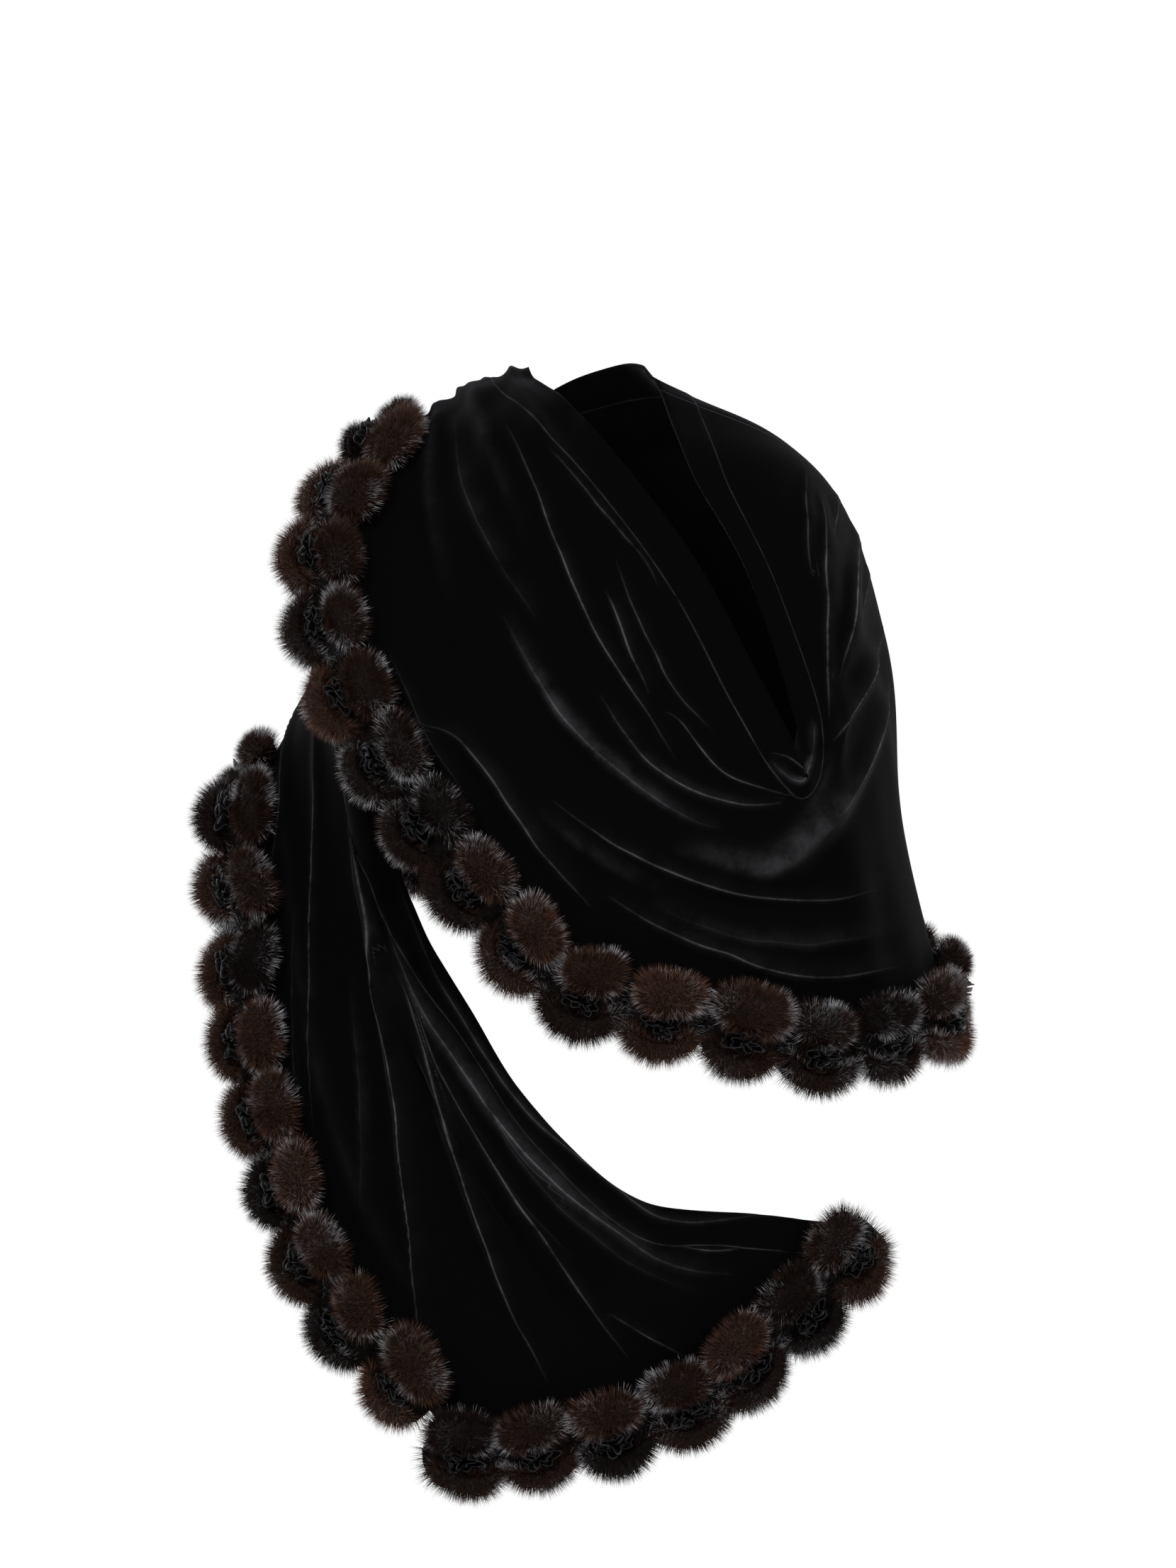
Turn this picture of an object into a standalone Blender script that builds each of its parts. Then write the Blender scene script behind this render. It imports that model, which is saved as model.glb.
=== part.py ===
"""Evening stole: doubled black velvet with a row of fur rosettes, in its worn, hollow drape.

Metres, +Z up. +X is the viewer's right and +Y is away from the viewer. The origin lies at the base of the
neck, between the shoulders that carry the stole. The strip is one surface: its position along the length is
counted in sections, and its position across the width runs from 0 at the plain hem to 1 at the fur edge.
"""
import math
from collections import namedtuple

import bmesh
import bpy
import numpy as np

MM = 0.001

# Driving dimensions, in millimetres
WALL = 2.4
SEAM_GAP = 0.3
ROSETTE_PITCH = 66.0
ROSETTE_ACROSS = 86.0
FUR_HEIGHT = 34.0
GROOVE_HEIGHT = 17.0
ROSE_HEIGHT = 23.0
ROSE_MIDDLE_HEIGHT = 24.0
SEAT_GAP = 0.3
# A rosette is fuller on the cloth side than on the free side
FUR_LEAN = 0.16
# A fold is this much steeper on its lower side than on its upper side
FOLD_STEEPNESS = 1.7
# The lower this is, the sooner a fold reaches its full height from its ends
FOLD_SWELL = 0.7
# Folds fade out towards the fur edge, which the rosettes keep smooth
FOLD_FADE_START = 0.86
ROSETTE_SIDES = 10
# At its blunt corner the held end's row runs on this far, and the long row starts this far along its own edge
HELD_CORNER_PAST = 30.0
HELD_CORNER_CLEAR = 46.0
# A rosette's outline is fuller than an oval: 1 would be an oval, and 0 a rectangle
ROSETTE_ROUNDNESS = 0.77
# Points tried along each side of a rosette's facets when it is seated, and how far past the cloth's edge
SEAT_SAMPLES = 8
EDGE_MARGIN = 0.01
# The end edges run on past the fur edge's corner, to this many of the cloth's widths
END_EDGE_REACH = 1.215
# Small steps over the strip, in its own coordinates, from which its directions and slopes are taken
FACE_STEP = 0.004
SLOPE_STEP = 0.01

# Sections across the strip, in millimetres: each gives five points from the plain hem to the fur edge
Section = namedtuple("Section", "plain_hem upper middle lower fur_edge")

FRONT_FALL = [
    Section((231, -150, -699), (160, -172, -776), (79, -188, -838), (-18, -192, -872), (-111, -180, -886)),
    Section((135, -165, -688), (89, -190, -748), (25, -200, -796), (-52, -200, -806), (-160, -170, -826)),
    Section((25, -170, -673), (18, -195, -718), (-44, -205, -721), (-94, -195, -707), (-217, -140, -768)),
    Section((-54, -160, -598), (-58, -185, -661), (-92, -190, -655), (-144, -170, -632), (-253, -105, -684)),
    Section((-108, -135, -514), (-119, -160, -573), (-148, -160, -557), (-180, -135, -538), (-288, -70, -574)),
    Section((-148, -110, -446), (-175, -130, -473), (-189, -125, -458), (-206, -100, -452), (-302, -40, -452)),
    Section((-172, -85, -384), (-194, -95, -384), (-203, -85, -374), (-232, -58, -354), (-303, -8, -346)),
    Section((-221, -40, -190), (-235, -25, -215), (-246, 0, -240), (-266, 26, -274), (-290, 44, -320)),
]
BACK_WRAP = [
    Section((-195, 60, -120), (-215, 80, -165), (-228, 92, -215), (-242, 96, -280), (-252, 101, -345)),
    Section((-125, 100, -45), (-135, 122, -130), (-140, 130, -215), (-143, 136, -300), (-145, 142, -390)),
    Section((-35, 85, 22), (-35, 122, -80), (-30, 136, -185), (-28, 144, -290), (-25, 152, -410)),
    Section((25, 60, 42), (55, 100, -55), (70, 118, -170), (75, 125, -290), (85, 132, -452)),
    Section((47, 12, 30), (118, 45, -26), (165, 62, -140), (185, 72, -290), (200, 78, -480)),
    Section((56, -15, 14), (185, -15, -46), (242, -15, -182), (257, -20, -330), (290, -25, -492)),
]
FRONT_WRAP = [
    Section((80, -75, -55), (197, -95, -110), (247, -85, -250), (260, -95, -385), (287, -100, -525)),
    Section((125, -120, -140), (202, -140, -200), (232, -135, -318), (235, -145, -425), (230, -150, -541)),
    Section((163, -150, -255), (203, -168, -290), (190, -180, -375), (180, -182, -435), (173, -180, -547)),
    Section((177, -160, -312), (172, -180, -345), (125, -200, -405), (110, -202, -428), (112, -200, -531)),
    Section((140, -150, -240), (85, -172, -300), (40, -195, -350), (15, -200, -400), (-20, -200, -495)),
    Section((80, -125, -130), (20, -145, -215), (-35, -162, -265), (-75, -170, -320), (-115, -172, -395)),
    Section((5, -75, -30), (-45, -95, -95), (-85, -112, -150), (-145, -118, -190), (-215, -110, -230)),
    Section((-25, -35, 3), (-75, -50, -25), (-112, -60, -60), (-165, -55, -90), (-230, -45, -110)),
    Section((-53, 15, 27), (-90, 15, 16), (-122, 15, -3), (-150, 18, -15), (-175, 22, -25)),
]
SHOULDER_TAIL = [
    Section((-58, 65, 36), (-92, 72, 26), (-124, 74, 10), (-153, 72, -10), (-182, 66, -32)),
    Section((-48, 128, -15), (-84, 138, -32), (-120, 142, -48), (-158, 136, -62), (-198, 118, -78)),
    Section((-40, 165, -130), (-80, 172, -143), (-122, 174, -152), (-165, 167, -155), (-208, 148, -154)),
    Section((-28, 184, -260), (-72, 192, -270), (-118, 194, -276), (-165, 189, -276), (-212, 174, -270)),
]

# Folds: from one section to another, where they lie across the width at their start, middle and end,
# how far they rise in millimetres, and their half width as a share of the cloth's width
Fold = namedtuple("Fold", "first last start middle end rise half_width")

FALL_FOLDS = [
    Fold(0.0, 5.5, 0.06, 0.06, 0.10, 7, 0.030),
    Fold(0.3, 6.9, 0.22, 0.25, 0.25, 15, 0.050),
    Fold(0.3, 6.9, 0.42, 0.46, 0.50, 12, 0.040),
    Fold(0.1, 6.9, 0.62, 0.64, 0.66, 14, 0.045),
    Fold(0.0, 6.9, 0.79, 0.79, 0.80, 12, 0.035),
]
BACK_FOLDS = [
    Fold(0.2, 5.8, 0.20, 0.16, 0.22, 9, 0.045),
    Fold(0.2, 5.8, 0.42, 0.38, 0.38, 11, 0.050),
    Fold(0.4, 5.6, 0.60, 0.62, 0.56, 10, 0.050),
    Fold(0.6, 5.4, 0.78, 0.80, 0.74, 8, 0.045),
]
WRAP_FOLDS = [
    Fold(0.2, 6.8, 0.30, 0.20, 0.16, 12, 0.045),
    Fold(0.2, 3.4, 0.40, 0.36, 0.30, 8, 0.030),
    Fold(0.4, 6.9, 0.50, 0.52, 0.44, 14, 0.050),
    Fold(0.8, 6.6, 0.70, 0.66, 0.60, 9, 0.040),
    Fold(0.5, 5.0, 0.84, 0.83, 0.80, 9, 0.035),
    Fold(5.0, 8.6, 0.74, 0.76, 0.74, 9, 0.040),
    Fold(5.4, 9.4, 0.18, 0.16, 0.16, 7, 0.035),
    Fold(6.2, 9.6, 0.42, 0.46, 0.38, 9, 0.045),
    Fold(7.2, 9.6, 0.60, 0.60, 0.58, 7, 0.035),
]
TAIL_FOLDS = [
    Fold(-0.6, 3.9, 0.16, 0.18, 0.20, 7, 0.045),
    Fold(-0.5, 4.0, 0.38, 0.42, 0.44, 9, 0.050),
    Fold(-0.5, 3.9, 0.58, 0.62, 0.66, 8, 0.045),
]

# Every stretch has the same number of cells across, so that their edges match at the seams
CELLS_WIDE = 21

Stretch = namedtuple("Stretch", "name sections folds cells_long")

STRETCHES = [
    Stretch("front_fall", FRONT_FALL, FALL_FOLDS, 24),
    Stretch("back_wrap", BACK_WRAP, BACK_FOLDS, 16),
    Stretch("front_wrap", FRONT_WRAP, WRAP_FOLDS, 28),
    Stretch("shoulder_tail", SHOULDER_TAIL, TAIL_FOLDS, 12),
]
STRIP = np.array([section for stretch in STRETCHES for section in stretch.sections], dtype=float)


def tangents(points, axis):
    """Slopes of a smooth curve through points, each weighted towards the shorter of its two chords."""
    points = np.moveaxis(points, axis, 0)
    chords = points[1:] - points[:-1]
    lengths = np.linalg.norm(chords, axis=-1, keepdims=True)
    inner = (lengths[1:] * chords[:-1] + lengths[:-1] * chords[1:]) / (lengths[1:] + lengths[:-1])
    slopes = np.concatenate([chords[:1], inner, chords[-1:]])
    return np.moveaxis(slopes, 0, axis)


def curve_between(start, start_slope, end, end_slope, share):
    """A cubic from start to end, which runs on straight past either of them."""
    t = np.clip(share, 0.0, 1.0)
    inside = (
        (1 + 2 * t) * (1 - t) ** 2 * start
        + t * (1 - t) ** 2 * start_slope
        + t * t * (3 - 2 * t) * end
        + t * t * (t - 1) * end_slope
    )
    before = np.minimum(share, 0.0) * start_slope
    after = np.maximum(share - 1.0, 0.0) * end_slope
    return inside + before + after


def smooth_cloth(along, across):
    """Points of the strip without its folds, at positions along (in sections) and across (0 to 1)."""
    index = np.clip(np.floor(along).astype(int), 0, len(STRIP) - 2)
    share = (along - index)[:, None, None]
    slopes = tangents(STRIP, 0)
    section = curve_between(STRIP[index], slopes[index], STRIP[index + 1], slopes[index + 1], share)
    spans = STRIP.shape[1] - 1
    span = np.clip(np.floor(across * spans).astype(int), 0, spans - 1)
    rows = np.arange(len(along))
    bends = tangents(section, 1)
    share = (across * spans - span)[:, None]
    return curve_between(section[rows, span], bends[rows, span], section[rows, span + 1],
                         bends[rows, span + 1], share)


def first_sections():
    """Where each stretch starts along the strip: at the last section of the one before."""
    starts = {}
    count = 0
    for stretch in STRETCHES:
        starts[stretch.name] = max(count - 1, 0)
        count += len(stretch.sections)
    return starts


STARTS = first_sections()


def stretch_range(stretch):
    """A stretch's first and last position along the strip."""
    start = STARTS[stretch.name]
    return start, start + len(stretch.sections) - (1 if start == 0 else 0)


def fold_rise(along, across):
    """How far the folds lift the cloth at each position, in millimetres."""
    rise = np.zeros(len(along))
    for stretch in STRETCHES:
        for fold in stretch.folds:
            local = along - STARTS[stretch.name]
            share = np.clip((local - fold.first) / (fold.last - fold.first), 0.0, 1.0)
            centre = (
                fold.start * (1 - share) * (1 - 2 * share)
                + fold.middle * 4 * share * (1 - share)
                + fold.end * share * (2 * share - 1)
            )
            offset = (across - centre) / fold.half_width
            offset = np.where(offset > 0, offset * FOLD_STEEPNESS, offset)
            rise += fold.rise * np.sin(math.pi * share) ** FOLD_SWELL * np.exp(-offset * offset)
    fade = np.clip((1.0 - across) / (1.0 - FOLD_FADE_START), 0.0, 1.0)
    return rise * fade * fade * (3 - 2 * fade)


def unit(vectors):
    return vectors / np.linalg.norm(vectors, axis=-1, keepdims=True)


def dot(first, second):
    return np.sum(first * second, axis=-1)


def frame_of(points_at, along, across):
    """Unit directions along the strip, across it and out of its face."""
    step = FACE_STEP
    run = unit(points_at(along + step, across) - points_at(along - step, across))
    fall = unit(points_at(along, across + step) - points_at(along, across - step))
    return run, fall, unit(np.cross(run, fall))


def cloth(along, across):
    """Points of the strip's outer face, with its folds."""
    face = frame_of(smooth_cloth, along, across)[2]
    return smooth_cloth(along, across) + face * fold_rise(along, across)[:, None]


def stretch_grid(stretch):
    """The corners of a stretch's outer facets and the direction out of each, as two grids of points."""
    start, end = stretch_range(stretch)
    lines_long = np.linspace(start, end, stretch.cells_long + 1)
    lines_wide = np.linspace(0.0, 1.0, CELLS_WIDE + 1)
    along, across = (grid.ravel() for grid in np.meshgrid(lines_long, lines_wide, indexing="ij"))
    shape = (len(lines_long), len(lines_wide), 3)
    run, _, face = (direction.reshape(shape) for direction in frame_of(cloth, along, across))
    points = cloth(along, across).reshape(shape)
    if start > 0:
        points[0] += run[0] * SEAM_GAP / 2
    if end < len(STRIP) - 1:
        points[-1] -= run[-1] * SEAM_GAP / 2
    return lines_long, lines_wide, points, face


def grid_triangles(length, width):
    """Two triangles for each cell of a grid of length by width points."""
    faces = []
    for i in range(length - 1):
        for j in range(width - 1):
            corner = i * width + j
            faces.append((corner, corner + width, corner + width + 1))
            faces.append((corner, corner + width + 1, corner + 1))
    return faces


def grid_borders(length, width):
    """The numbers of a grid's border points, a list for each side, all in the grid's own order."""
    last = (length - 1) * width
    rows = [i * width for i in range(length)]
    return [
        list(range(width)),
        list(range(last, last + width)),
        rows,
        [row + width - 1 for row in rows],
    ]


def add_object(name, points, faces, material, collection):
    """A closed object from points in millimetres."""
    mesh = bpy.data.meshes.new(name)
    mesh.from_pydata([tuple(point * MM) for point in points], [], faces)
    shape = bmesh.new()
    shape.from_mesh(mesh)
    bmesh.ops.recalc_face_normals(shape, faces=shape.faces)
    shape.to_mesh(mesh)
    shape.free()
    mesh.materials.append(material)
    mesh.shade_smooth()
    piece = bpy.data.objects.new(name, mesh)
    collection.objects.link(piece)
    return piece


def cloth_wall(stretch, material, collection):
    """One stretch of the strip as a closed wall of the cloth's thickness."""
    _, _, outer, face = stretch_grid(stretch)
    length, width = outer.shape[:2]
    inner = outer - face * WALL
    count = length * width
    points = np.concatenate([outer.reshape(-1, 3), inner.reshape(-1, 3)])
    faces = grid_triangles(length, width)
    faces += [tuple(corner + count for corner in reversed(triangle)) for triangle in list(faces)]
    for border in grid_borders(length, width):
        for here, after in zip(border, border[1:]):
            faces.append((here, after, after + count))
            faces.append((here, after + count, here + count))
    return add_object(stretch.name, points, faces, material, collection)


def facet_points(stretch, along, across):
    """Points on the flat facets of a stretch's outer face."""
    lines_long, lines_wide, points, _ = stretch_grid(stretch)
    s = (along - lines_long[0]) / (lines_long[1] - lines_long[0])
    t = (across - lines_wide[0]) / (lines_wide[1] - lines_wide[0])
    i = np.clip(np.floor(s).astype(int), 0, len(lines_long) - 2)
    j = np.clip(np.floor(t).astype(int), 0, len(lines_wide) - 2)
    s = (s - i)[:, None]
    t = (t - j)[:, None]
    near, far = points[i, j], points[i + 1, j + 1]
    corner = np.where(s >= t, points[i + 1, j], points[i, j + 1])
    first, second = np.maximum(s, t), np.minimum(s, t)
    return near + first * (corner - near) + second * (far - corner)


# Rings of points from a rosette's rim to its rose: share of its radius, and height over its seat
RosetteRing = namedtuple("RosetteRing", "radius height")
ROSETTE_RINGS = [
    RosetteRing(1.00, 5.0),
    RosetteRing(0.93, 0.72 * FUR_HEIGHT),
    RosetteRing(0.66, FUR_HEIGHT),
    RosetteRing(0.40, GROOVE_HEIGHT),
    RosetteRing(0.24, ROSE_HEIGHT),
]
SEAT_RINGS = [0.92, 0.50]


def edge_coordinates(edge, position):
    """Strip coordinates, along and across, of positions on one of the fur edges."""
    if edge == "long":
        return position, np.ones(len(position))
    return np.full(len(position), 0.0 if edge == "held_end" else len(STRIP) - 1.0), position


def edge_length_table(edge, samples=600):
    """Positions along an edge, beside the millimetres of cloth edge up to each."""
    end = len(STRIP) - 1.0 if edge == "long" else END_EDGE_REACH
    position = np.linspace(0.0, end, samples)
    points = smooth_cloth(*edge_coordinates(edge, position))
    steps = np.linalg.norm(points[1:] - points[:-1], axis=1)
    return position, np.concatenate([[0.0], np.cumsum(steps)])


def strip_slopes(along, across):
    """How the smooth cloth moves for one section along it, and for its whole width across it."""
    step = SLOPE_STEP
    run = (smooth_cloth(along + step, across) - smooth_cloth(along - step, across)) / (2 * step)
    fall = (smooth_cloth(along, across + step) - smooth_cloth(along, across - step)) / (2 * step)
    return run, fall


def strip_steps(run, fall, move):
    """The steps along and across the strip that come closest to a move in millimetres."""
    spread = dot(run, run) * dot(fall, fall) - dot(run, fall) ** 2
    along_step = (dot(move, run) * dot(fall, fall) - dot(move, fall) * dot(run, fall)) / spread
    across_step = (dot(move, fall) * dot(run, run) - dot(move, run) * dot(run, fall)) / spread
    return along_step, across_step


def edge_place(edge, position, outward):
    """Strip coordinates of points that many millimetres square outside positions on an edge."""
    along, across = edge_coordinates(edge, position)
    run, fall = strip_slopes(along, across)
    face = np.cross(run, fall)
    square = {"long": np.cross(face, run), "held_end": np.cross(face, fall), "tail_end": np.cross(fall, face)}
    along_step, across_step = strip_steps(run, fall, unit(square[edge]) * outward[:, None])
    return along + along_step, across + across_step


def rosette_faces():
    """Triangles of one rosette: its rose, its rings down to the rim, and its seat."""
    sides = ROSETTE_SIDES
    rings = len(ROSETTE_RINGS) + len(SEAT_RINGS)
    order = list(range(len(ROSETTE_RINGS) - 1, -1, -1)) + list(range(len(ROSETTE_RINGS), rings))
    rose, seat = rings * sides, rings * sides + 1
    faces = []
    for k in range(sides):
        after = (k + 1) % sides
        faces.append((rose, order[0] * sides + k, order[0] * sides + after))
        faces.append((seat, order[-1] * sides + after, order[-1] * sides + k))
        for upper, lower in zip(order, order[1:]):
            faces.append((upper * sides + k, lower * sides + k, lower * sides + after))
            faces.append((upper * sides + k, lower * sides + after, upper * sides + after))
    return faces


def rosette_local(half_pitch):
    """One rosette laid flat: distance along its edge, distance outside it, and height."""
    rings = ROSETTE_RINGS + [RosetteRing(radius, 0.0) for radius in SEAT_RINGS]
    local = []
    for ring in rings:
        for k in range(ROSETTE_SIDES):
            turn = math.tau * k / ROSETTE_SIDES
            run, outward = (
                math.copysign(abs(part) ** ROSETTE_ROUNDNESS, part) * ring.radius
                for part in (math.cos(turn), math.sin(turn))
            )
            height = ring.height * (1 - FUR_LEAN * outward)
            local.append((half_pitch * run, ROSETTE_ACROSS / 2 * outward, height))
    local.append((0.0, 0.0, ROSE_MIDDLE_HEIGHT))
    local.append((0.0, 0.0, 0.0))
    return np.array(local)


def seat_lift(along, across, base, face, faces):
    """How far a rosette's flat facets must rise to clear the cloth's flat facets by the seat gap."""
    steps = SEAT_SAMPLES
    weights = np.array([
        (i, j, steps - i - j) for i in range(steps + 1) for j in range(steps + 1 - i)
    ]) / steps
    corners = np.array(faces)
    place = np.stack([along, across], axis=1)
    places = np.einsum("wc,fcd->fwd", weights, place[corners]).reshape(-1, 2)
    points = np.einsum("wc,fcd->fwd", weights, base[corners]).reshape(-1, 3)
    outs = np.einsum("wc,fcd->fwd", weights, face[corners]).reshape(-1, 3)
    along, across = places.T
    run, fall = strip_slopes(along, across)
    along_step, across_step = strip_steps(run, fall, points - cloth(along, across))
    along, across = along + along_step, across + across_step
    lift = 0.0
    for stretch in STRETCHES:
        start, end = stretch_range(stretch)
        over = (along >= start) & (along <= end) & (across <= 1.0 + EDGE_MARGIN)
        if over.any():
            facets = facet_points(stretch, along[over], np.minimum(across[over], 1.0))
            lift = max(lift, float(np.max(dot(facets - points[over], outs[over]))))
    return lift + SEAT_GAP


def rosette_row(edge, first, last, count):
    """Points of each rosette in a row on one edge, from one edge position in millimetres to another."""
    positions, lengths = edge_length_table(edge)
    pitch = (last - first) / count
    local = rosette_local(pitch / 2 - SEAM_GAP)
    faces = rosette_faces()
    low = [face for face in faces if local[list(face), 2].max() < FUR_HEIGHT]
    rosettes = []
    for number in range(count):
        centre = first + pitch * (number + 0.5)
        position = np.interp(centre + local[:, 0], lengths, positions)
        along, across = edge_place(edge, position, local[:, 1])
        base = cloth(along, across)
        face = frame_of(smooth_cloth, along, across)[2]
        lift = seat_lift(along, across, base + face * local[:, 2:], face, low)
        rosettes.append(base + face * (local[:, 2:] + lift))
    return rosettes


def all_rosettes():
    """Rosettes along the held end, the long edge and the tail end; each end row takes its corner."""
    half = ROSETTE_ACROSS / 2
    rosettes = []
    for edge, past_corner in (("held_end", HELD_CORNER_PAST), ("tail_end", half)):
        positions, lengths = edge_length_table(edge)
        corner = float(np.interp(1.0, positions, lengths)) + past_corner
        rosettes.append(rosette_row(edge, 0.0, corner, round(corner / ROSETTE_PITCH)))
    start = HELD_CORNER_CLEAR
    end = edge_length_table("long")[1][-1] - half - SEAM_GAP * 2
    rosettes.insert(1, rosette_row("long", start, end, round((end - start) / ROSETTE_PITCH)))
    return [rosette for row in rosettes for rosette in row]


def new_material(name, colour, roughness, sheen):
    material = bpy.data.materials.new(name)
    material.use_nodes = True
    shader = material.node_tree.nodes["Principled BSDF"]
    shader.inputs["Base Color"].default_value = (*colour, 1.0)
    shader.inputs["Roughness"].default_value = roughness
    shader.inputs["Metallic"].default_value = 0.0
    shader.inputs["Sheen Weight"].default_value = sheen
    return material


def new_collection(name):
    collection = bpy.data.collections.new(name)
    bpy.context.scene.collection.children.link(collection)
    return collection


def build():
    for leftover in list(bpy.data.objects):
        bpy.data.objects.remove(leftover, do_unlink=True)
    stole = new_collection("evening_stole")
    velvet = new_material("black velvet", (0.006, 0.006, 0.007), 0.85, 0.6)
    fur = new_material("dark brown fur", (0.022, 0.015, 0.012), 0.60, 0.3)
    for stretch in STRETCHES:
        cloth_wall(stretch, velvet, stole)
    faces = rosette_faces()
    for number, points in enumerate(all_rosettes(), start=1):
        add_object(f"fur_rosette_{number:02d}", points, faces, fur, stole)


build()
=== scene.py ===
"""Evening stole in black velvet with fur rosettes: the finish of every surface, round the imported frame.

Metres in the scene, millimetres in the tables. +X is the viewer's right, +Y is away from the viewer and
+Z is up. The origin is the base of the neck. The strip of cloth is one surface: a place on it is its
position along (counted in sections) and across (0 at the plain hem, 1 at the fur edge).
"""
import math
from collections import namedtuple

import bmesh
import bpy
import numpy as np
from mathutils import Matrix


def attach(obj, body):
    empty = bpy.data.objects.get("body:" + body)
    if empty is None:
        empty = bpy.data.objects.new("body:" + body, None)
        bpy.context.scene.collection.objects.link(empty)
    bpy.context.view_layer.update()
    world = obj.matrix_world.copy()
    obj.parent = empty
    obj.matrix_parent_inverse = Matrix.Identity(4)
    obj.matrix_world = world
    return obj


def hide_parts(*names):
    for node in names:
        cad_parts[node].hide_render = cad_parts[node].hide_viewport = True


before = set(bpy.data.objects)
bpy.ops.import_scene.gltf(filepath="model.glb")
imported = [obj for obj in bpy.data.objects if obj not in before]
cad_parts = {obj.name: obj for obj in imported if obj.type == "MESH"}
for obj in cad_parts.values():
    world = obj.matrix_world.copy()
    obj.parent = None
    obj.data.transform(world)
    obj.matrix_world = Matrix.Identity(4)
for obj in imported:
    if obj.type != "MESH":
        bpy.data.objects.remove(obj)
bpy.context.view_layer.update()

MM = 0.001

# Cloth and fur, in millimetres
WALL = 2.4
ROSETTE_PITCH = 66.0
ROSETTE_ACROSS = 86.0
SEAM_GAP = 0.3
HELD_CORNER_PAST = 30.0
HELD_CORNER_CLEAR = 46.0
FOLD_STEEPNESS = 1.7
FOLD_FADE_START = 0.90
# How strong a painted sheen is along the crests of the long folds, for each millimetre they rise
FOLD_SHEEN = 0.03
HEM_DEPTH = 34.0
# The turned-over hem stands up this far, over this width
HEM_RISE = 0.9
HEM_STEP = 2.5
# A crease is worked out over this many of its widths, and fades this far past its ends
CREASE_REACH = 2.4
CREASE_END_FADE = 12.0
# The end edges run on past the fur edge's corner, to this many of the cloth's widths
END_EDGE_REACH = 1.215
# The width to which the strip is cut, in metres
CELL_REACH = 3.2

# Sections across the strip, in millimetres: each gives five points from the plain hem to the fur edge
Section = namedtuple("Section", "plain_hem upper middle lower fur_edge")

FRONT_FALL = [
    Section((231, -150, -699), (160, -172, -776), (79, -188, -838), (-18, -192, -872),
            (-111, -180, -886)),
    Section((135, -165, -688), (89, -190, -748), (25, -200, -796), (-52, -200, -806), (-160, -170, -826)),
    Section((25, -170, -673), (18, -195, -718), (-44, -205, -721), (-94, -195, -707), (-217, -140, -768)),
    Section((-54, -160, -598), (-58, -185, -661), (-92, -190, -655), (-144, -170, -632),
            (-253, -105, -684)),
    Section((-108, -135, -514), (-119, -160, -573), (-148, -160, -557), (-180, -135, -538),
            (-288, -70, -574)),
    Section((-148, -110, -446), (-175, -130, -473), (-189, -125, -458), (-206, -100, -452),
            (-302, -40, -452)),
    Section((-172, -85, -384), (-194, -95, -384), (-203, -85, -374), (-232, -58, -354), (-303, -8, -346)),
    Section((-221, -40, -190), (-235, -25, -215), (-246, 0, -240), (-266, 26, -274), (-290, 44, -320)),
]
BACK_WRAP = [
    Section((-195, 60, -120), (-215, 80, -165), (-228, 92, -215), (-242, 96, -280), (-252, 101, -345)),
    Section((-125, 100, -45), (-135, 122, -130), (-140, 130, -215), (-143, 136, -300), (-145, 142, -390)),
    Section((-35, 85, 22), (-35, 122, -80), (-30, 136, -185), (-28, 144, -290), (-25, 152, -410)),
    Section((25, 60, 42), (55, 100, -55), (70, 118, -170), (75, 125, -290), (85, 132, -452)),
    Section((47, 12, 30), (118, 45, -26), (165, 62, -140), (185, 72, -290), (200, 78, -480)),
    Section((56, -15, 14), (185, -15, -46), (242, -15, -182), (257, -20, -330), (290, -25, -492)),
]
FRONT_WRAP = [
    Section((80, -75, -55), (197, -95, -110), (247, -85, -250), (260, -95, -385), (287, -100, -525)),
    Section((125, -120, -140), (202, -140, -200), (232, -135, -318), (235, -145, -425),
            (230, -150, -541)),
    Section((163, -150, -255), (203, -168, -290), (190, -180, -375), (180, -182, -435),
            (173, -180, -547)),
    Section((177, -160, -312), (172, -180, -345), (125, -200, -405), (110, -202, -428),
            (112, -200, -531)),
    Section((140, -150, -240), (85, -172, -300), (40, -195, -350), (15, -200, -400), (-20, -200, -495)),
    Section((80, -125, -130), (20, -145, -215), (-35, -162, -265), (-75, -170, -320), (-115, -172, -395)),
    Section((5, -75, -30), (-45, -95, -95), (-85, -112, -150), (-145, -118, -190), (-215, -110, -230)),
    Section((-25, -35, 3), (-75, -50, -25), (-112, -60, -60), (-165, -55, -90), (-230, -45, -110)),
    Section((-53, 15, 27), (-90, 15, 16), (-122, 15, -3), (-150, 18, -15), (-175, 22, -25)),
]
SHOULDER_TAIL = [
    Section((-58, 65, 36), (-92, 72, 26), (-124, 74, 10), (-153, 72, -10), (-182, 66, -32)),
    Section((-48, 128, -15), (-84, 138, -32), (-120, 142, -48), (-158, 136, -62), (-198, 118, -78)),
    Section((-40, 165, -130), (-80, 172, -143), (-122, 174, -152), (-165, 167, -155), (-208, 148, -154)),
    Section((-28, 184, -260), (-72, 192, -270), (-118, 194, -276), (-165, 189, -276), (-212, 174, -270)),
]

# Long soft folds: from one section to another, where they lie across the width at their start, middle and
# end, how far they rise in millimetres, and their half width as a share of the cloth's width
Fold = namedtuple("Fold", "first last start middle end rise half_width")

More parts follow.
